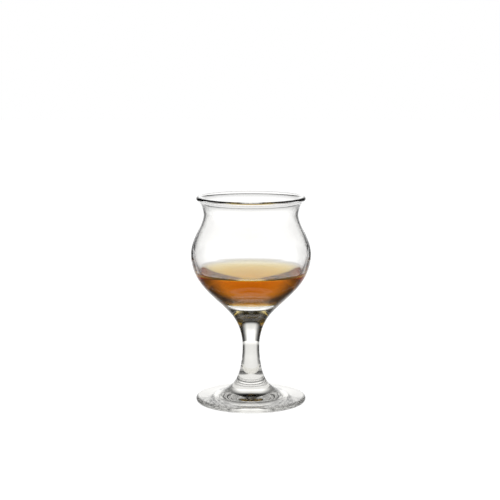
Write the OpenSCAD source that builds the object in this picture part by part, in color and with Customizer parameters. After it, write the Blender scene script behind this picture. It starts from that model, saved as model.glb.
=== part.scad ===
// Short-stemmed cognac glass with a measure of spirit in it.
// A flat foot, a drawn solid stem and a blown bowl are fused face to face on one axis.
// The spirit lies in the bowl as a body of its own and can turn there.
// Millimetres, +Z up, origin at the centre of the foot's underside.

/* [Foot] */
// Diameter of the foot
foot_d = 69.3; // [62:0.1:78]
// Thickness of the foot's fully rounded edge
foot_edge_t = 3.5; // [2.4:0.1:4]
// Climb of the disc's top towards the hub, in degrees
foot_climb = 3; // [1:0.5:7]
// Diameter of the hollow under the foot
hollow_d = 45; // [36:0.5:54]
// Depth of that hollow at its middle
hollow_h = 2.4; // [1:0.1:3.5]
// Diameter at which the disc starts to sweep up into the hub
sweep_d = 55.4; // [46:0.1:60]
// Diameter of the hub where the stem is fused on
hub_d = 24.8; // [22:0.1:28]
// Height of the foot up to that joint
foot_h = 10; // [9:0.1:12]
// Lean of the hub's flank at that joint, in degrees from upright
hub_lean = 48; // [40:1:58]
// Pull of the sweep on leaving the disc, in chords
sweep_start_pull = 0.43; // [0.25:0.01:0.5]
// Pull of the sweep on reaching the hub, in chords
sweep_end_pull = 0.23; // [0.15:0.01:0.4]

/* [Stem] */
// Length of the stem between its two joints
stem_h = 46; // [42:0.1:60]
// Diameter of the stem's waist
waist_d = 10.6; // [8:0.1:14]
// Height of the waist above the hub
waist_h = 25.8; // [22:0.1:30]
// Diameter of the stem's top, where the bowl is fused on
stem_top_d = 24.8; // [21:0.1:29]
// Lean of the flank at the stem's top, in degrees from upright
stem_top_lean = 40; // [32:1:48]
// Pull of the lower flank on leaving the hub, in chords
flank_low_pull = 0.3; // [0.2:0.01:0.4]
// Pull of the lower flank on reaching the waist, in chords
waist_low_pull = 0.3; // [0.15:0.01:0.4]
// Pull of the upper flank on leaving the waist, in chords
waist_high_pull = 0.15; // [0.1:0.01:0.3]
// Pull of the upper flank on reaching the stem's top, in chords
flank_high_pull = 0.455; // [0.3:0.005:0.5]

/* [Bowl] */
// Outer diameter of the belly
belly_d = 75.4; // [68:0.1:84]
// Height of the belly above the stem
belly_h = 38.4; // [35:0.1:43]
// Outer diameter of the neck
neck_d = 59.8; // [54:0.1:64]
// Height of the neck above the belly
neck_h = 24.7; // [21:0.1:29]
// Diameter over the rim's bead
rim_d = 68.5; // [66.5:0.1:72]
// Height of the rim above the neck
lip_h = 11.3; // [9.5:0.1:13]
// Thickness of the round bead on the rim
bead_t = 2.5; // [1.6:0.1:3]
// Lean of the lip below the bead, in degrees from upright
lip_lean = 61; // [45:1:68]
// Wall at the neck
neck_wall = 1.5; // [1.2:0.1:2.2]
// Wall at the belly
belly_wall = 2; // [1.8:0.1:3]
// Height of the inside's widest place above the outside's
inside_lift = 1.2; // [0:0.1:2.5]
// Depth of solid glass between the stem and the bowl's floor
base_t = 9.2; // [6:0.1:12]
// Pull of the lower side on leaving the stem, in chords
side_low_pull = 0.335; // [0.25:0.005:0.45]
// Pull of the lower side on reaching the belly, in chords
belly_low_pull = 0.42; // [0.3:0.01:0.5]
// Pull of the shoulder on leaving the belly, in chords
belly_high_pull = 0.35; // [0.25:0.01:0.45]
// Pull of the shoulder on reaching the neck, in chords
neck_low_pull = 0.245; // [0.15:0.005:0.35]
// Pull of the lip on leaving the neck, in chords
neck_high_pull = 0.36; // [0.25:0.01:0.45]
// Pull of the lip on reaching the bead, in chords
lip_pull = 0.27; // [0.15:0.01:0.35]
// Pull of the inside on leaving the belly, in chords
inside_pull = 0.24; // [0.15:0.01:0.4]
// Pull of the inside on reaching the middle of the floor, in chords
floor_pull = 0.56; // [0.4:0.01:0.65]

/* [Drink] */
// Depth of the spirit over the middle of the floor
drink_depth = 16.9; // [8:0.1:20]
// Rise of the spirit's edge up the wall
meniscus_h = 1.9; // [1:0.1:3]
// Reach of that rise in from the wall
meniscus_reach = 4; // [2:0.1:6]
// Pull of that rise on leaving the calm surface, in chords
calm_pull = 0.5; // [0.3:0.05:0.6]
// Pull of that rise on reaching the wall, in chords
rise_pull = 0.4; // [0.2:0.05:0.5]
// Running gap between the spirit and the glass
drink_gap = 0.3; // [0.2:0.05:0.5]

/* [Hidden] */
$fn = 120;

curve_steps = 14;
wall_steps = 20;
edge_steps = 8;
halvings = 30;

glass_tint = [0.9, 0.94, 0.94, 0.35];
spirit_tint = [0.76, 0.38, 0.08, 0.9];

upright = [0, 1];
inward = [-1, 0];
outward = [1, 0];

stem_top_z = foot_h + stem_h;
belly_z = stem_top_z + belly_h;
neck_z = belly_z + neck_h;
rim_z = neck_z + lip_h;
floor_z = stem_top_z + base_t;
drink_z = floor_z + drink_depth;

edge_r = foot_edge_t / 2;
edge_centre = [foot_d / 2 - edge_r, edge_r];
edge_top = edge_centre + edge_r * [sin(foot_climb), cos(foot_climb)];
climb = [-cos(foot_climb), sin(foot_climb)];
hollow_r = (hollow_d * hollow_d / 4 + hollow_h * hollow_h) / (2 * hollow_h);
hollow_centre = [0, hollow_h - hollow_r];
hollow_edge_angle = acos(hollow_d / 2 / hollow_r);
sweep_start = [sweep_d / 2, edge_top.y + (edge_top.x - sweep_d / 2) * tan(foot_climb)];

hub = [hub_d / 2, foot_h];
waist = [waist_d / 2, foot_h + waist_h];
stem_top = [stem_top_d / 2, stem_top_z];
belly = [belly_d / 2, belly_z];
neck = [neck_d / 2, neck_z];

bead_r = bead_t / 2;
bead_centre = [rim_d / 2 - bead_r, rim_z - bead_r];
lip_out = bead_centre + bead_r * [cos(lip_lean), -sin(lip_lean)];
lip_in = bead_centre - bead_r * [cos(lip_lean), -sin(lip_lean)];

neck_in = neck - [neck_wall, 0];
belly_in = belly + [-belly_wall, inside_lift];
floor_mid = [0, floor_z];

hub_flank = leaning(-hub_lean);
top_flank = leaning(stem_top_lean);
lip_flank = leaning(lip_lean);

// Direction that leans outward from upright by an angle
function leaning(angle) = [sin(angle), cos(angle)];

// Handles of the curve that leaves p along a and reaches q along b, pulls given in chords
function handles(p, a, q, b, pull_p, pull_q) =
    let (chord = norm(q - p))
    [p, p + pull_p * chord * a, q - pull_q * chord * b, q];

// Point of that curve at t, from 0 at its start to 1 at its end
function curve_point(h, t) =
    let (u = 1 - t)
    u * u * u * h[0] + 3 * u * u * t * h[1] + 3 * u * t * t * h[2] + t * t * t * h[3];

// Unit direction of that curve at t
function curve_dir(h, t) =
    let (u = 1 - t, d = u * u * (h[1] - h[0]) + 2 * u * t * (h[2] - h[1]) + t * t * (h[3] - h[2]))
    d / norm(d);

// Points of that curve after its start
function curve(h, steps) = [for (i = [1:steps]) curve_point(h, i / steps)];

// Points of an arc after its start
function arc(centre, r, from, to, steps) =
    [for (i = [1:steps]) let (a = from + (to - from) * i / steps) centre + r * [cos(a), sin(a)]];

// The bowl's inside from the belly down to the middle of its floor, shared with the spirit
inside = handles(belly_in, -upright, floor_mid, inward, inside_pull, floor_pull);

// Where the inside, offset by the running gap, stands at t
function wetted(t) =
    let (d = curve_dir(inside, t))
    curve_point(inside, t) + drink_gap * [d.y, -d.x];

// The t at which the wetted face stands at height z, found by halving
function wetted_at(z, low = 0, high = 1, left = halvings) =
    let (mid = (low + high) / 2)
    left == 0 ? mid
    : wetted(mid).y > z ? wetted_at(z, mid, high, left - 1)
    : wetted_at(z, low, mid, left - 1);

// Solid turned about the upright axis from its half outline
module turned(outline) {
    rotate_extrude() polygon(outline);
}

module foot() {
    color(glass_tint) turned(concat(
        [[0, hollow_h]],
        arc(hollow_centre, hollow_r, 90, hollow_edge_angle, edge_steps),
        [[edge_centre.x, 0]],
        arc(edge_centre, edge_r, -90, 90 - foot_climb, edge_steps),
        [sweep_start],
        curve(handles(sweep_start, climb, hub, hub_flank, sweep_start_pull, sweep_end_pull), curve_steps),
        [[0, foot_h]]
    ));
}

module stem() {
    color(glass_tint) turned(concat(
        [[0, foot_h], hub],
        curve(handles(hub, hub_flank, waist, upright, flank_low_pull, waist_low_pull), curve_steps),
        curve(handles(waist, upright, stem_top, top_flank, waist_high_pull, flank_high_pull), curve_steps),
        [[0, stem_top_z]]
    ));
}

module bowl() {
    color(glass_tint) turned(concat(
        [[0, stem_top_z], stem_top],
        curve(handles(stem_top, top_flank, belly, upright, side_low_pull, belly_low_pull), wall_steps),
        curve(handles(belly, upright, neck, upright, belly_high_pull, neck_low_pull), curve_steps),
        curve(handles(neck, upright, lip_out, lip_flank, neck_high_pull, lip_pull), edge_steps),
        arc(bead_centre, bead_r, -lip_lean, 180 - lip_lean, edge_steps),
        curve(handles(lip_in, -lip_flank, neck_in, -upright, lip_pull, neck_high_pull), edge_steps),
        curve(handles(neck_in, -upright, belly_in, -upright, neck_low_pull, belly_high_pull), curve_steps),
        curve(inside, wall_steps)
    ));
}

module cognac() {
    rise_t = wetted_at(drink_z + meniscus_h);
    rise = wetted(rise_t);
    calm = [rise.x - meniscus_reach, drink_z];
    meniscus = handles(calm, outward, rise, upright, calm_pull, rise_pull);
    color(spirit_tint) turned(concat(
        [[0, drink_z], calm],
        curve(meniscus, edge_steps),
        [for (i = [1:wall_steps]) wetted(rise_t + (1 - rise_t) * i / wall_steps)]
    ));
}

foot();
stem();
bowl();
cognac();
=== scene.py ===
"""A short-stemmed cognac glass with a measure of spirit in it, on a white studio table."""
import logging
import math
from dataclasses import dataclass
from enum import Enum
from typing import Iterable

import bmesh
import bpy
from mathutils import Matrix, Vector


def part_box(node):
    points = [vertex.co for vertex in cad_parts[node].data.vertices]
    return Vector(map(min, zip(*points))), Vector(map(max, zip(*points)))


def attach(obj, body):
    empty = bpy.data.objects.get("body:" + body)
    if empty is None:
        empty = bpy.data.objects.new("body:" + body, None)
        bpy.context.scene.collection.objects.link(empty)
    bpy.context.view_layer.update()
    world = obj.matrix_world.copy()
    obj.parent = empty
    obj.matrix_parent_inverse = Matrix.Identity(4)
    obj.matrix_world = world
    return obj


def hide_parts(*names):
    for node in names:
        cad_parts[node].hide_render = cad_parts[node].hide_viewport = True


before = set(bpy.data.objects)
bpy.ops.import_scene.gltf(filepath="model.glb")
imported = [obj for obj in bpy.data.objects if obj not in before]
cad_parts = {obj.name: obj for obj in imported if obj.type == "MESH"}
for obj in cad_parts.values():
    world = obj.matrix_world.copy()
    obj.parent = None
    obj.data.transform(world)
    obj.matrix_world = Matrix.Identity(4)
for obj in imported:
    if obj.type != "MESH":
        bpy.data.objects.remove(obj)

LOG = logging.getLogger("cognac_glass")
MM = 0.001
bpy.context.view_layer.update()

UPRIGHT = Vector((0.0, 1.0))
INWARD = Vector((-1.0, 0.0))
RIGHT_ANGLE = 90.0
HALF_TURN = 180.0

WHITE = (1.0, 1.0, 1.0, 1.0)
THIN_CAST = (1.0, 0.998, 0.99)
THICK_CAST = (1.0, 0.99, 0.95)

WELD_LEVEL = 0.001 * MM
WELD_FLATNESS = 0.99

TENT_RADIUS = 0.5
TENT_HEIGHT = 0.8


class Body(Enum):
    """Rigid bodies that the pieces ride on."""

    GLASS = "glass"
    COGNAC = "cognac"


class Slot(Enum):
    """Material slots of the record."""

    CLEAR_GLASS = "clear_glass"
    SPIRIT = "spirit"


def leaning(degrees: float) -> Vector:
    """Give the direction that leans outward from upright.

    Args:
        degrees: Angle from upright, negative towards the axis.

    Returns:
        A unit vector in the plane of radius and height.
    """
    angle = math.radians(degrees)
    return Vector((math.sin(angle), math.cos(angle)))


@dataclass(frozen=True)
class Sweep:
    """A smooth curve between two points of a half outline.

    Its pulls are the lengths of its handles, in chords.
    """

    start: Vector
    leave: Vector
    end: Vector
    reach: Vector
    start_pull: float
    end_pull: float

    def handles(self) -> tuple[Vector, Vector, Vector, Vector]:
        """Return the curve's end points with the two handles between them."""
        chord = (self.end - self.start).length
        near_start = self.start + self.leave * (self.start_pull * chord)
        near_end = self.end - self.reach * (self.end_pull * chord)
        return self.start, near_start, near_end, self.end

    def point(self, t: float) -> Vector:
        """Find a point of the curve.

        Args:
            t: Place along the curve, from 0 at the start to 1 at the end.

        Returns:
            The point there.
        """
        a, b, c, d = self.handles()
        u = 1.0 - t
        return a * u**3 + b * (3 * u * u * t) + c * (3 * u * t * t) + d * t**3

    def direction(self, t: float) -> Vector:
        """Find the direction of travel.

        Args:
            t: Place along the curve, from 0 at the start to 1 at the end.

        Returns:
            The unit direction there.
        """
        a, b, c, d = self.handles()
        u = 1.0 - t
        return ((b - a) * (u * u) + (c - b) * (2 * u * t) + (d - c) * (t * t)).normalized()

    def points(self, steps: int) -> list[Vector]:
        """Return the points after the start, closer together near both ends.

        Args:
            steps: Number of points.

        Returns:
            The points in order, the end included.
        """
        return [self.point(0.5 - 0.5 * math.cos(math.pi * i / steps)) for i in range(1, steps + 1)]


def arc(centre: Vector, radius: float, first: float, last: float, steps: int) -> list[Vector]:
    """Give the points of an arc after its start.

    Args:
        centre: Centre of the arc.
        radius: Radius of the arc.
        first: Angle of its start in degrees, from outward towards upright.
        last: Angle of its end in degrees.
        steps: Number of points.

    Returns:
        The points in order, the end included.
    """
    angles = [math.radians(first + (last - first) * i / steps) for i in range(1, steps + 1)]
    return [centre + Vector((math.cos(a), math.sin(a))) * radius for a in angles]


@dataclass(frozen=True)
class Lathe:
    """Turns half outlines about the glass's axis into closed meshes."""

    turns: int = 160
    merge: float = 0.0005 * MM
    crease: float = 30.0

    def turn(self, name: str, outline: Iterable[Vector]) -> bpy.types.Object:
        """Turn an outline that starts and ends on the axis.

        Args:
            name: Name of the piece.
            outline: Points of radius and height, in metres.

        Returns:
            The new piece, closed, with its faces outward.
        """
        mesh = bpy.data.meshes.new(name)
        bm = bmesh.new()
        verts = [bm.verts.new((p.x, 0.0, p.y)) for p in outline]
        edges = [bm.edges.new(pair) for pair in zip(verts, verts[1:])]
        bmesh.ops.spin(
            bm, geom=verts + edges, axis=(0, 0, 1), cent=(0, 0, 0), dvec=(0, 0, 0),
            angle=math.tau, steps=self.turns, use_merge=True,
        )
        bmesh.ops.remove_doubles(bm, verts=bm.verts[:], dist=self.merge)
        bmesh.ops.recalc_face_normals(bm, faces=bm.faces[:])
        for face in bm.faces:
            face.smooth = True
        bm.to_mesh(mesh)
        bm.free()
        mesh.set_sharp_from_angle(angle=math.radians(self.crease))
        piece = bpy.data.objects.new(name, mesh)
        bpy.context.scene.collection.objects.link(piece)
        return piece


def new_material(name: str) -> tuple[bpy.types.Material, bpy.types.Nodes, bpy.types.NodeLinks]:
    """Make an empty node material.

    Args:
        name: Name of the finish.

    Returns:
        The material with its nodes and links.
    """
    material = bpy.data.materials.new(name)
    material.use_nodes = True
    material.node_tree.nodes.clear()
    return material, material.node_tree.nodes, material.node_tree.links


@dataclass(frozen=True)
class ClearGlass:
    """Fire-polished clear glass with a faint warm cast, a slight haze and tooling waves."""

    name: str
    cast: tuple[float, float, float]
    ior: float = 1.5
    wave_scale: float = 55.0
    wave_detail: float = 1.0
    wave_depth: float = 0.004 * MM
    haze_scale: float = 140.0
    haze_from: float = 0.45
    haze_to: float = 0.75
    haze: float = 0.004

    def material(self) -> bpy.types.Material:
        """Return the glass's material."""
        material, nodes, links = new_material(self.name)
        out = nodes.new("ShaderNodeOutputMaterial")
        glass = nodes.new("ShaderNodeBsdfPrincipled")
        glass.inputs["Base Color"].default_value = (*self.cast, 1.0)
        glass.inputs["Transmission Weight"].default_value = 1.0
        glass.inputs["IOR"].default_value = self.ior
        place = nodes.new("ShaderNodeTexCoord")
        waves = nodes.new("ShaderNodeTexNoise")
        waves.inputs["Scale"].default_value = self.wave_scale
        waves.inputs["Detail"].default_value = self.wave_detail
        bump = nodes.new("ShaderNodeBump")
        bump.inputs["Distance"].default_value = self.wave_depth
        haze = nodes.new("ShaderNodeTexNoise")
        haze.inputs["Scale"].default_value = self.haze_scale
        polish = nodes.new("ShaderNodeMapRange")
        polish.inputs["From Min"].default_value = self.haze_from
        polish.inputs["From Max"].default_value = self.haze_to
        polish.inputs["To Max"].default_value = self.haze
        links.new(place.outputs["Object"], waves.inputs["Vector"])
        links.new(place.outputs["Object"], haze.inputs["Vector"])
        links.new(waves.outputs["Fac"], bump.inputs["Height"])
        links.new(haze.outputs["Fac"], polish.inputs["Value"])
        links.new(polish.outputs["Result"], glass.inputs["Roughness"])
        links.new(bump.outputs["Normal"], glass.inputs["Normal"])
        links.new(glass.outputs["BSDF"], out.inputs["Surface"])
        return material


@dataclass(frozen=True)
class WeldedGlass:
    """The plane where two hot pieces of glass ran together, which light passes freely."""

    def material(self) -> bpy.types.Material:
        """Return the weld's material."""
        material, nodes, links = new_material("welded_glass")
        out = nodes.new("ShaderNodeOutputMaterial")
        clear = nodes.new("ShaderNodeBsdfTransparent")
        links.new(clear.outputs["BSDF"], out.inputs["Surface"])
        return material


@dataclass(frozen=True)
class Amber:
    """Cask-aged spirit: clear, and the deeper it lies the more orange it looks."""

    ior: float = 1.36
    tint: tuple[float, float, float] = (0.95, 0.765, 0.0)
    density: float = 130.0
    ripple_scale: float = 90.0
    ripple_depth: float = 0.002 * MM

    def material(self) -> bpy.types.Material:
        """Return the spirit's material."""
        material, nodes, links = new_material("spirit")
        out = nodes.new("ShaderNodeOutputMaterial")
        liquid = nodes.new("ShaderNodeBsdfPrincipled")
        liquid.inputs["Base Color"].default_value = WHITE
        liquid.inputs["Transmission Weight"].default_value = 1.0
        liquid.inputs["Roughness"].default_value = 0.0
        liquid.inputs["IOR"].default_value = self.ior
        depth = nodes.new("ShaderNodeVolumeAbsorption")
        depth.inputs["Color"].default_value = (*self.tint, 1.0)
        depth.inputs["Density"].default_value = self.density
        place = nodes.new("ShaderNodeTexCoord")
        ripples = nodes.new("ShaderNodeTexNoise")
        ripples.inputs["Scale"].default_value = self.ripple_scale
        bump = nodes.new("ShaderNodeBump")
        bump.inputs["Distance"].default_value = self.ripple_depth
        links.new(place.outputs["Object"], ripples.inputs["Vector"])
        links.new(ripples.outputs["Fac"], bump.inputs["Height"])
        links.new(bump.outputs["Normal"], liquid.inputs["Normal"])
        links.new(liquid.outputs["BSDF"], out.inputs["Surface"])
        links.new(depth.outputs["Volume"], out.inputs["Volume"])
        return material


@dataclass(frozen=True)
class Welds:
    """Heights and diameters where the three pieces of glass are fused."""

    hub_z: float
    stem_top_z: float
    hub_d: float = 24.8 * MM
    stem_top_d: float = 24.8 * MM
    hub_lean: float = 48.0
    stem_top_lean: float = 40.0

    @property
    def hub(self) -> Vector:
        """Outer edge of the weld between foot and stem."""
        return Vector((self.hub_d / 2, self.hub_z))

    @property
    def stem_top(self) -> Vector:
        """Outer edge of the weld between stem and bowl."""
        return Vector((self.stem_top_d / 2, self.stem_top_z))


def dress_welds(
    piece: bpy.types.Object, heights: Iterable[float], weld: bpy.types.Material
) -> None:
    """Give a piece's flat weld faces the weld's finish.

    Args:
        piece: The turned piece, with its own finish in the first slot.
        heights: Heights of its weld faces.
        weld: The weld's finish.
    """
    piece.data.materials.append(weld)
    for face in piece.data.polygons:
        level = min(abs(face.center.z - z) for z in heights)
        if level < WELD_LEVEL and abs(face.normal.z) > WELD_FLATNESS:
            face.material_index = 1


@dataclass(frozen=True)
class Foot:
    """Flat disc with a rounded edge, a hollow underneath and a hub swept up to the stem."""

    welds: Welds
    diameter: float
    edge_t: float = 3.5 * MM
    climb: float = 3.0
    hollow_d: float = 45.0 * MM
    hollow_h: float = 2.4 * MM
    hollow_ease: float = 0.8 * MM
    sweep_d: float = 55.4 * MM
    sweep_start_pull: float = 0.43
    sweep_end_pull: float = 0.23
    ease_pull: float = 0.4
    dome_steps: int = 40
    ease_steps: int = 10
    edge_steps: int = 24
    disc_steps: int = 12
    sweep_steps: int = 36

    def outline(self) -> list[Vector]:
        """Return the foot's half outline, from the middle of its hollow to its weld."""
        edge_r = self.edge_t / 2
        edge = Vector((self.diameter / 2 - edge_r, edge_r))
        rise = leaning(self.climb - RIGHT_ANGLE)
        edge_top = edge + leaning(self.climb) * edge_r
        sweep_r = self.sweep_d / 2
        sweep_z = edge_top.y + (edge_top.x - sweep_r) * math.tan(math.radians(self.climb))
        sweep_start = Vector((sweep_r, sweep_z))
        hub_flank = leaning(-self.welds.hub_lean)
        sweep = Sweep(
            sweep_start, rise, self.welds.hub, hub_flank, self.sweep_start_pull, self.sweep_end_pull
        )
        hollow_r = (self.hollow_d**2 / 4 + self.hollow_h**2) / (2 * self.hollow_h)
        hollow = Vector((0.0, self.hollow_h - hollow_r))
        rim_angle = math.degrees(math.acos(self.hollow_d / 2 / hollow_r))
        ease_angle = rim_angle + math.degrees(self.hollow_ease / hollow_r)
        dome = arc(hollow, hollow_r, RIGHT_ANGLE, ease_angle, self.dome_steps)
        seat = Vector((self.hollow_d / 2 + self.hollow_ease, 0.0))
        down = leaning(HALF_TURN - ease_angle)
        ease = Sweep(dome[-1], down, seat, -INWARD, self.ease_pull, self.ease_pull)
        disc = [
            edge_top.lerp(sweep_start, i / self.disc_steps) for i in range(1, self.disc_steps + 1)
        ]
        return [
            Vector((0.0, self.hollow_h)), *dome, *ease.points(self.ease_steps),
            Vector((edge.x, 0.0)),
            *arc(edge, edge_r, -RIGHT_ANGLE, RIGHT_ANGLE - self.climb, self.edge_steps),
            *disc, *sweep.points(self.sweep_steps), Vector((0.0, self.welds.hub_z)),
        ]

    def build(
        self, lathe: Lathe, glass: bpy.types.Material, weld: bpy.types.Material
    ) -> bpy.types.Object:
        """Turn the foot and dress it.

        Args:
            lathe: The lathe that turns it.
            glass: Finish of its surface.
            weld: Finish of its weld.

        Returns:
            The finished piece, standing for the foot's solid.
        """
        piece = lathe.turn("foot_glass", self.outline())
        piece.data.materials.append(glass)
        dress_welds(piece, [self.welds.hub_z], weld)
        return settle(piece, Body.GLASS, "foot")


@dataclass(frozen=True)
class Stem:
    """Solid drawn stem, waisted, between its two welds."""

    welds: Welds
    waist_d: float = 10.6 * MM
    waist_h: float = 25.8 * MM
    flank_low_pull: float = 0.3
    waist_low_pull: float = 0.3
    waist_high_pull: float = 0.15
    flank_high_pull: float = 0.455
    flank_steps: int = 60

    def outline(self) -> list[Vector]:
        """Return the stem's half outline, from its lower weld to its upper one."""
        waist = Vector((self.waist_d / 2, self.welds.hub_z + self.waist_h))
        low = Sweep(
            self.welds.hub, leaning(-self.welds.hub_lean), waist, UPRIGHT,
            self.flank_low_pull, self.waist_low_pull,
        )
        high = Sweep(
            waist, UPRIGHT, self.welds.stem_top, leaning(self.welds.stem_top_lean),
            self.waist_high_pull, self.flank_high_pull,
        )
        return [
            Vector((0.0, self.welds.hub_z)), self.welds.hub,
            *low.points(self.flank_steps), *high.points(self.flank_steps),
            Vector((0.0, self.welds.stem_top_z)),
        ]

    def build(
        self, lathe: Lathe, glass: bpy.types.Material, weld: bpy.types.Material
    ) -> bpy.types.Object:
        """Turn the stem and dress it.

        Args:
            lathe: The lathe that turns it.
            glass: Finish of its surface.
            weld: Finish of its two welds.

        Returns:
            The finished piece, standing for the stem's solid.
        """
        piece = lathe.turn("stem_glass", self.outline())
        piece.data.materials.append(glass)
        dress_welds(piece, [self.welds.hub_z, self.welds.stem_top_z], weld)
        return settle(piece, Body.GLASS, "stem")


@dataclass(frozen=True)
class Bowl:
    """Blown bowl: thick base, full belly, drawn-in neck and turned-out lip with a round bead."""

    welds: Welds
    belly_d: float
    rim_z: float
    belly_h: float = 38.4 * MM
    neck_d: float = 59.8 * MM
    neck_h: float = 24.7 * MM
    rim_d: float = 68.5 * MM
    bead_t: float = 2.5 * MM
    lip_lean: float = 61.0
    neck_wall: float = 1.5 * MM
    belly_wall: float = 2.0 * MM
    inside_lift: float = 1.2 * MM
    base_t: float = 9.2 * MM
    side_low_pull: float = 0.335
    belly_low_pull: float = 0.42
    belly_high_pull: float = 0.35
    neck_low_pull: float = 0.245
    neck_high_pull: float = 0.36
    lip_pull: float = 0.27
    inside_pull: float = 0.24
    floor_pull: float = 0.56
    side_steps: int = 80
    shoulder_steps: int = 50
    lip_steps: int = 30
    bead_steps: int = 24
    inside_steps: int = 100

    @property
    def belly(self) -> Vector:
        """Widest point of the outside."""
        return Vector((self.belly_d / 2, self.welds.stem_top_z + self.belly_h))

    @property
    def belly_in(self) -> Vector:
        """Widest point of the inside."""
        return self.belly + Vector((-self.belly_wall, self.inside_lift))

    @property
    def floor_z(self) -> float:
        """Height of the middle of the inside's floor."""
        return self.welds.stem_top_z + self.base_t

    def inside(self) -> Sweep:
        """Return the inside below the belly, down to the middle of its floor."""
        return Sweep(
            self.belly_in, -UPRIGHT, Vector((0.0, self.floor_z)), INWARD,
            self.inside_pull, self.floor_pull,
        )

    def outline(self) -> list[Vector]:
        """Return the bowl's half outline, up the outside, over the bead and down the inside."""
        neck = self.belly + Vector(((self.neck_d - self.belly_d) / 2, self.neck_h))
        neck_in = neck - Vector((self.neck_wall, 0.0))
        bead_r = self.bead_t / 2
        bead = Vector((self.rim_d / 2 - bead_r, self.rim_z - bead_r))
        lip_flank = leaning(self.lip_lean)
        across = leaning(self.lip_lean + RIGHT_ANGLE) * bead_r
        side = Sweep(
            self.welds.stem_top, leaning(self.welds.stem_top_lean), self.belly, UPRIGHT,
            self.side_low_pull, self.belly_low_pull,
        )
        shoulder = Sweep(
            self.belly, UPRIGHT, neck, UPRIGHT, self.belly_high_pull, self.neck_low_pull
        )
        lip = Sweep(neck, UPRIGHT, bead + across, lip_flank, self.neck_high_pull, self.lip_pull)
        lip_in = Sweep(
            bead - across, -lip_flank, neck_in, -UPRIGHT, self.lip_pull, self.neck_high_pull
        )
        shoulder_in = Sweep(
            neck_in, -UPRIGHT, self.belly_in, -UPRIGHT, self.neck_low_pull, self.belly_high_pull
        )
        return [
            Vector((0.0, self.welds.stem_top_z)), self.welds.stem_top,
            *side.points(self.side_steps), *shoulder.points(self.shoulder_steps),
            *lip.points(self.lip_steps),
            *arc(bead, bead_r, -self.lip_lean, HALF_TURN - self.lip_lean, self.bead_steps),
            *lip_in.points(self.lip_steps), *shoulder_in.points(self.shoulder_steps),
            *self.inside().points(self.inside_steps),
        ]

    def build(
        self, lathe: Lathe, glass: bpy.types.Material, weld: bpy.types.Material
    ) -> bpy.types.Object:
        """Turn the bowl and dress it.

        Args:
            lathe: The lathe that turns it.
            glass: Finish of its surface.
            weld: Finish of its weld.

        Returns:
            The finished piece, standing for the bowl's solid.
        """
        piece = lathe.turn("bowl_glass", self.outline())
        piece.data.materials.append(glass)
        dress_welds(piece, [self.welds.stem_top_z], weld)
        return settle(piece, Body.GLASS, "bowl")


@dataclass(frozen=True)
class Drink:
    """The poured spirit, which wets the bowl and climbs it in a meniscus.

    Its side lies a hair within the glass of the bowl, so that no air shows between the two.
    """

    bowl: Bowl
    depth: float = 16.9 * MM
    capillary_length: float = 2.0 * MM
    soak: float = 0.08 * MM
    calm_angle: float = 0.3
    halvings: int = 40
    side_steps: int = 100
    rise_steps: int = 48
    calm_steps: int = 16

    @property
    def level(self) -> float:
        """Height of the calm surface."""
        return self.bowl.floor_z + self.depth

    def wetted(self, t: float) -> Vector:
        """Find a point of the wetted side.

        Args:
            t: Place along the bowl's inside.

        Returns:
            The point there, a hair within the glass.
        """
        inside = self.bowl.inside()
        along = inside.direction(t)
        return inside.point(t) - Vector((along.y, -along.x)) * self.soak

    def climb(self, t: float) -> tuple[float, float]:
        """Work out how a meniscus meets the side.

        Args:
            t: Place along the bowl's inside.

        Returns:
            Its steepness there in radians and its height over the calm surface.
        """
        along = self.bowl.inside().direction(t)
        steep = math.atan2(-along.y, -along.x)
        return steep, 2 * self.capillary_length * math.sin(steep / 2)

    def contact(self) -> float:
        """Return the t of the bowl's inside where the meniscus runs out on the side."""
        low, high = 0.0, 1.0
        for _ in range(self.halvings):
            middle = (low + high) / 2
            if self.wetted(middle).y > self.level + self.climb(middle)[1]:
                low = middle
            else:
                high = middle
        return low

    def meniscus(self, t: float) -> list[Vector]:
        """Give the surface's rise, from the side in to where it is calm.

        The rise is that of a wetting liquid against a wall, which grows steeper with height.

        Args:
            t: Place of the contact on the bowl's inside.

        Returns:
            The points after the contact.
        """
        steep, _ = self.climb(t)
        calm = math.radians(self.calm_angle)
        edge = self.wetted(t)

        def reach(angle: float) -> float:
            """Return how far out the rise has an angle, in capillary lengths."""
            return math.log(1 / math.tan(angle / 4)) - 2 * math.cos(angle / 2)

        points = []
        for i in range(1, self.rise_steps + 1):
            angle = steep * (calm / steep) ** (i / self.rise_steps)
            run = (reach(angle) - reach(steep)) * self.capillary_length
            height = 2 * self.capillary_length * math.sin(angle / 2)
            points.append(Vector((edge.x - run, self.level + height)))
        return points

    def outline(self) -> list[Vector]:
        """Return the drink's half outline, from the floor up the side and in over the surface."""
        t = self.contact()
        side = [
            self.wetted(1.0 - (1.0 - t) * i / self.side_steps) for i in range(self.side_steps + 1)
        ]
        side[0].x = 0.0
        rise = self.meniscus(t)
        middle = Vector((0.0, self.level))
        calm = [
            rise[-1].lerp(middle, i / self.calm_steps) for i in range(1, self.calm_steps + 1)
        ]
        return [*side, *rise, *calm]

    def build(self, lathe: Lathe, spirit: bpy.types.Material) -> bpy.types.Object:
        """Turn the drink and dress it.

        Args:
            lathe: The lathe that turns it.
            spirit: Finish of the drink.

        Returns:
            The finished piece, standing for the spirit's solid.
        """
        piece = lathe.turn("cognac_drink", self.outline())
        piece.data.materials.append(spirit)
        return settle(piece, Body.COGNAC, "cognac")


def settle(piece: bpy.types.Object, body: Body, node: str) -> bpy.types.Object:
    """Make a piece ride its body and stand for its solid.

    Args:
        piece: The finished piece.
        body: Body that carries it.
        node: Name of the solid that it stands for.

    Returns:
        The same piece.
    """
    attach(piece, body.value)
    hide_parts(node)
    return piece


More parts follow.
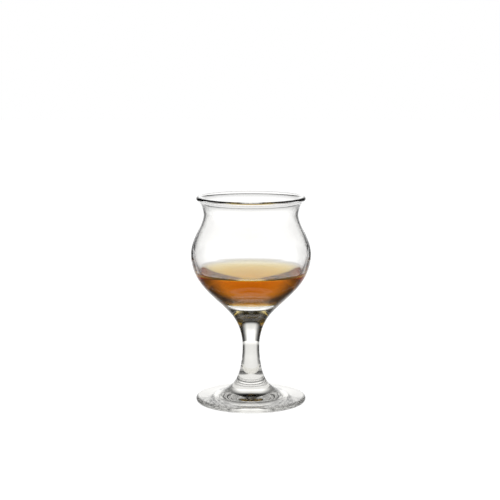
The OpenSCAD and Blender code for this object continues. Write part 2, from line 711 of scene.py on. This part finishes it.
@dataclass(frozen=True)
class Ramp:
    """A brightness that changes smoothly along one value of a shader."""

    stops: tuple[tuple[float, float], ...]
    span: float

    def connect(
        self, tree: bpy.types.NodeTree, value: bpy.types.NodeSocket
    ) -> bpy.types.NodeSocket:
        """Look the brightness up.

        Args:
            tree: Node tree of the shader.
            value: The value, in the same unit as the stops.

        Returns:
            The brightness's socket.
        """
        share = tree.nodes.new("ShaderNodeMath")
        share.operation = "DIVIDE"
        share.inputs[1].default_value = self.span
        tree.links.new(value, share.inputs[0])
        ramp = tree.nodes.new("ShaderNodeValToRGB")
        tree.links.new(share.outputs[0], ramp.inputs["Fac"])
        elements = ramp.color_ramp.elements
        elements.remove(elements[1])
        for number, (place, bright) in enumerate(self.stops):
            stop = elements[0] if number == 0 else elements.new(place / self.span)
            stop.position = place / self.span
            stop.color = (bright, bright, bright, 1.0)
        return ramp.outputs["Color"]


@dataclass(frozen=True)
class Glow:
    """One light on the tent, by its angle from straight behind in degrees and by its height."""

    by_angle: Ramp
    by_height: Ramp

    def connect(
        self, tree: bpy.types.NodeTree, aside: bpy.types.NodeSocket, height: bpy.types.NodeSocket,
        others: bpy.types.NodeSocket | None,
    ) -> bpy.types.NodeSocket:
        """Add this light to others.

        Args:
            tree: Node tree of the tent's shader.
            aside: Angle from straight behind.
            height: Height on the tent.
            others: Brightness of the lights before this one, if any.

        Returns:
            The socket of all their brightness.
        """
        total = tree.nodes.new("ShaderNodeMath")
        total.operation = "MULTIPLY_ADD"
        total.inputs[2].default_value = 0.0
        tree.links.new(self.by_angle.connect(tree, aside), total.inputs[0])
        tree.links.new(self.by_height.connect(tree, height), total.inputs[1])
        if others is not None:
            tree.links.new(others, total.inputs[2])
        return total.outputs[0]


@dataclass(frozen=True)
class Studio:
    """White table and backdrop, a lit tent with dark sides and ceiling, a card seen through the
    glass with painted shade under the foot, and the camera.
    """

    floor_size: float = 3.0
    floor_gap: float = 0.2 * MM
    floor_glow: float = 0.97
    floor_grey: float = 0.12
    stage_turns: int = 180
    stage_merge: float = 0.01 * MM
    panel: Glow = Glow(
        Ramp(
            (
                (0, 1.25), (10, 1.35), (14, 1.3), (19, 0.88), (26, 0.34), (37, 0.02), (45, 0.0),
            ), HALF_TURN
        ),
        Ramp(
            (
                (0.0, 0.94), (0.08, 0.94), (0.11, 0.92), (0.17, 0.7), (0.2, 0.68), (0.28, 0.55),
                (0.355, 0.2), (0.45, 0.0),
            ), TENT_HEIGHT
        ),
    )
    windows: Glow = Glow(
        Ramp(
            (
                (25, 0.0), (60, 0.04), (79, 0.06), (82, 0.8), (98, 0.8), (101, 0.1), (180, 0.1),
            ), HALF_TURN
        ),
        Ramp(
            (
                (0.0, 1.0), (0.12, 1.0), (0.16, 0.5), (0.25, 0.4), (0.35, 0.05), (0.6, 0.05),
            ), TENT_HEIGHT
        ),
    )
    skirting: Glow = Glow(
        Ramp(((95, 0.0), (110, 0.75), (180, 0.75)), HALF_TURN),
        Ramp(((0.0, 1.0), (0.045, 1.0), (0.07, 0.5), (0.35, 0.45), (0.5, 0.0)), TENT_HEIGHT),
    )
    card_gap: float = 0.1 * MM
    card_behind: Ramp = Ramp(
        (
            (0.0, 0.9), (0.03, 0.85), (0.08, 0.9), (0.175, 0.84), (0.235, 0.95), (0.315, 1.2),
        ), TENT_RADIUS
    )
    # Beside: painted shade under the foot's hollow, a painted ring of light under its rim, then
    # darker ground that pales again farther out.
    card_beside_with_painted_shade: Ramp = Ramp(
        (
            (0.0, 0.2), (0.02, 0.2), (0.024, 0.88), (0.036, 0.88), (0.042, 0.3), (0.06, 0.1),
            (0.11, 0.02), (0.13, 0.02), (0.175, 0.1), (0.235, 0.45), (0.315, 0.5), (0.43, 0.5),
        ), TENT_RADIUS
    )
    # Ahead: painted shade under the foot's hollow, a painted ring of light under its rim, then dark
    # ground that pales with distance.
    card_ahead_with_painted_shade: Ramp = Ramp(
        (
            (0.0, 0.05), (0.016, 0.05), (0.022, 0.55), (0.034, 0.55), (0.038, 0.0), (0.06, 0.03),
            (0.1, 0.15), (0.13, 0.3), (0.175, 0.45), (0.235, 0.6), (0.315, 0.7), (0.43, 0.78),
        ), TENT_RADIUS
    )
    behind_share: Ramp = Ramp(
        ((0, 1.0), (6, 1.0), (27, 0.92), (36, 0.35), (45, 0.06), (60, 0.0)), HALF_TURN
    )
    ahead_share: Ramp = Ramp(((0, 0.0), (60, 0.0), (105, 0.8), (150, 1.0)), HALF_TURN)
    camera_x: float = -0.6 * MM
    camera_distance: float = 922.66 * MM
    camera_height: float = 232.15 * MM
    camera_pitch: float = 8.3587
    camera_lens: float = 107.045
    camera_sensor: float = 36.0
    camera_near: float = 10 * MM
    bounces: int = 40
    mirror_bounces: int = 20

    def emit(self, name: str) -> tuple[bpy.types.Material, bpy.types.Node]:
        """Make a glowing material whose light no other surface looks for.

        Args:
            name: Name of the finish.

        Returns:
            The material and its emission node.
        """
        material, nodes, links = new_material(name)
        out = nodes.new("ShaderNodeOutputMaterial")
        glow = nodes.new("ShaderNodeEmission")
        links.new(glow.outputs["Emission"], out.inputs["Surface"])
        material.cycles.emission_sampling = "NONE"
        return material, glow

    def stage_piece(
        self, name: str, bm: bmesh.types.BMesh, material: bpy.types.Material
    ) -> bpy.types.Object:
        """Put a shape on the stage.

        Args:
            name: Name of the stage piece.
            bm: Its shape, which is freed.
            material: Its finish.

        Returns:
            The stage piece.
        """
        mesh = bpy.data.meshes.new(name)
        bm.to_mesh(mesh)
        bm.free()
        mesh.materials.append(material)
        piece = bpy.data.objects.new(name, mesh)
        bpy.context.scene.collection.objects.link(piece)
        return piece

    def build_floor(self) -> None:
        """Lay the white table, which glows so that the glass throws no hard shadow."""
        bm = bmesh.new()
        bmesh.ops.create_grid(bm, x_segments=1, y_segments=1, size=self.floor_size)
        bmesh.ops.translate(bm, verts=bm.verts[:], vec=(0, 0, -self.floor_gap))
        material, nodes, links = new_material("table")
        out = nodes.new("ShaderNodeOutputMaterial")
        glow = nodes.new("ShaderNodeEmission")
        glow.inputs["Strength"].default_value = self.floor_glow
        matt = nodes.new("ShaderNodeBsdfDiffuse")
        matt.inputs["Color"].default_value = (*[self.floor_grey] * 3, 1.0)
        both = nodes.new("ShaderNodeAddShader")
        links.new(glow.outputs["Emission"], both.inputs[0])
        links.new(matt.outputs["BSDF"], both.inputs[1])
        links.new(both.outputs["Shader"], out.inputs["Surface"])
        material.cycles.emission_sampling = "NONE"
        self.stage_piece("table", bm, material)

    def build_tent(self) -> None:
        """Set up the tent, seen only in and through the glass."""
        bm = bmesh.new()
        foot = bm.verts.new((TENT_RADIUS, 0, 0))
        eave = bm.verts.new((TENT_RADIUS, 0, TENT_HEIGHT))
        peak = bm.verts.new((0, 0, TENT_HEIGHT))
        edges = [bm.edges.new((foot, eave)), bm.edges.new((eave, peak))]
        bmesh.ops.spin(
            bm, geom=[foot, eave, peak, *edges], axis=(0, 0, 1), cent=(0, 0, 0), dvec=(0, 0, 0),
            angle=math.tau, steps=self.stage_turns, use_merge=True,
        )
        bmesh.ops.remove_doubles(bm, verts=bm.verts[:], dist=self.stage_merge)
        material, glow = self.emit("tent")
        tree = material.node_tree
        aside, _, height = self.polar(tree)
        bright = None
        for light in (self.panel, self.windows, self.skirting):
            bright = light.connect(tree, aside, height, bright)
        tree.links.new(bright, glow.inputs["Strength"])
        tent = self.stage_piece("tent", bm, material)
        self.hide_from_camera(tent)

    def build_card_with_painted_shade(self) -> None:
        """Lay the card round the foot, seen only in and through the glass, palest behind it. Beside
        and ahead of the foot it carries painted shade under the hollow and a painted ring of light
        under the rim.
        """
        bm = bmesh.new()
        bmesh.ops.create_circle(
            bm, cap_ends=True, segments=self.stage_turns, radius=TENT_RADIUS
        )
        bmesh.ops.translate(bm, verts=bm.verts[:], vec=(0, 0, -self.card_gap))
        material, glow = self.emit("card_with_painted_shade")
        tree = material.node_tree
        aside, radius, _ = self.polar(tree)
        bright = self.card_beside_with_painted_shade.connect(tree, radius)
        parts = ((self.behind_share, self.card_behind), (self.ahead_share, self.card_ahead_with_painted_shade))
        for share, ramp in parts:
            mix = tree.nodes.new("ShaderNodeMix")
            tree.links.new(share.connect(tree, aside), mix.inputs["Factor"])
            tree.links.new(bright, mix.inputs["A"])
            tree.links.new(ramp.connect(tree, radius), mix.inputs["B"])
            bright = mix.outputs["Result"]
        tree.links.new(bright, glow.inputs["Strength"])
        card_with_painted_shade = self.stage_piece("card_with_painted_shade", bm, material)
        self.hide_from_camera(card_with_painted_shade)

    def polar(
        self, tree: bpy.types.NodeTree
    ) -> tuple[bpy.types.NodeSocket, bpy.types.NodeSocket, bpy.types.NodeSocket]:
        """Read a stage piece's places from the glass.

        Args:
            tree: Node tree of the piece's shader.

        Returns:
            The angle from straight behind in degrees, the radius and the height.
        """
        place = tree.nodes.new("ShaderNodeTexCoord")
        split = tree.nodes.new("ShaderNodeSeparateXYZ")
        tree.links.new(place.outputs["Object"], split.inputs["Vector"])
        angle = tree.nodes.new("ShaderNodeMath")
        angle.operation = "ARCTAN2"
        tree.links.new(split.outputs["X"], angle.inputs[0])
        tree.links.new(split.outputs["Y"], angle.inputs[1])
        degrees = tree.nodes.new("ShaderNodeMath")
        degrees.operation = "DEGREES"
        tree.links.new(angle.outputs[0], degrees.inputs[0])
        aside = tree.nodes.new("ShaderNodeMath")
        aside.operation = "ABSOLUTE"
        tree.links.new(degrees.outputs[0], aside.inputs[0])
        flat = tree.nodes.new("ShaderNodeVectorMath")
        flat.operation = "MULTIPLY"
        flat.inputs[1].default_value = (1.0, 1.0, 0.0)
        tree.links.new(place.outputs["Object"], flat.inputs[0])
        radius = tree.nodes.new("ShaderNodeVectorMath")
        radius.operation = "LENGTH"
        tree.links.new(flat.outputs["Vector"], radius.inputs[0])
        return aside.outputs[0], radius.outputs["Value"], split.outputs["Z"]

    def hide_from_camera(self, piece: bpy.types.Object) -> None:
        """Leave a stage piece to reflections and refractions alone.

        Args:
            piece: The stage piece.
        """
        piece.visible_camera = False
        piece.visible_diffuse = False
        piece.visible_shadow = False

    def build_world(self) -> None:
        """Make the white room round the table."""
        world = bpy.data.worlds.new("white_room")
        world.use_nodes = True
        nodes = world.node_tree.nodes
        nodes.clear()
        out = nodes.new("ShaderNodeOutputWorld")
        white = nodes.new("ShaderNodeBackground")
        white.inputs["Color"].default_value = WHITE
        world.node_tree.links.new(white.outputs["Background"], out.inputs["Surface"])
        bpy.context.scene.world = world

    def build_camera(self) -> None:
        """Place the camera where the photograph was taken from."""
        data = bpy.data.cameras.new("camera")
        data.sensor_width = self.camera_sensor
        data.lens = self.camera_lens
        data.clip_start = self.camera_near
        camera = bpy.data.objects.new("camera", data)
        camera.location = (self.camera_x, -self.camera_distance, self.camera_height)
        camera.rotation_euler = (math.radians(RIGHT_ANGLE - self.camera_pitch), 0, 0)
        bpy.context.scene.collection.objects.link(camera)
        bpy.context.scene.camera = camera

    def set_light_paths(self) -> None:
        """Let light pass all the walls of glass and drink, and keep white and colours plain."""
        scene = bpy.context.scene
        scene.cycles.max_bounces = self.bounces
        scene.cycles.transmission_bounces = self.bounces
        scene.cycles.glossy_bounces = self.mirror_bounces
        scene.cycles.transparent_max_bounces = self.bounces
        scene.cycles.blur_glossy = 0.0
        scene.view_settings.view_transform = "Standard"

    def build(self) -> None:
        """Build the whole studio."""
        self.build_floor()
        self.build_tent()
        self.build_card_with_painted_shade()
        self.build_world()
        self.build_camera()
        self.set_light_paths()


def main() -> None:
    """Build the glass, its drink and the studio, and report each piece."""
    logging.basicConfig(level=logging.INFO, format="%(name)s: %(message)s")
    foot_low, foot_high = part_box("foot")
    bowl_low, bowl_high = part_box("bowl")
    welds = Welds(hub_z=foot_high[2], stem_top_z=bowl_low[2])
    foot = Foot(welds, diameter=foot_high[0] - foot_low[0])
    stem = Stem(welds)
    bowl = Bowl(welds, belly_d=bowl_high[0] - bowl_low[0], rim_z=bowl_high[2])
    drink = Drink(bowl)
    lathe = Lathe()
    thin = ClearGlass("thin_glass", THIN_CAST).material()
    thick = ClearGlass("thick_glass", THICK_CAST).material()
    weld = WeldedGlass().material()
    spirit = Amber().material()
    pieces = [
        foot.build(lathe, thick, weld),
        stem.build(lathe, thick, weld),
        bowl.build(lathe, thin, weld),
        drink.build(lathe, spirit),
    ]
    Studio().build()
    for piece in pieces:
        LOG.info("%s: %d faces", piece.name, len(piece.data.polygons))


if __name__ == "__main__":
    main()
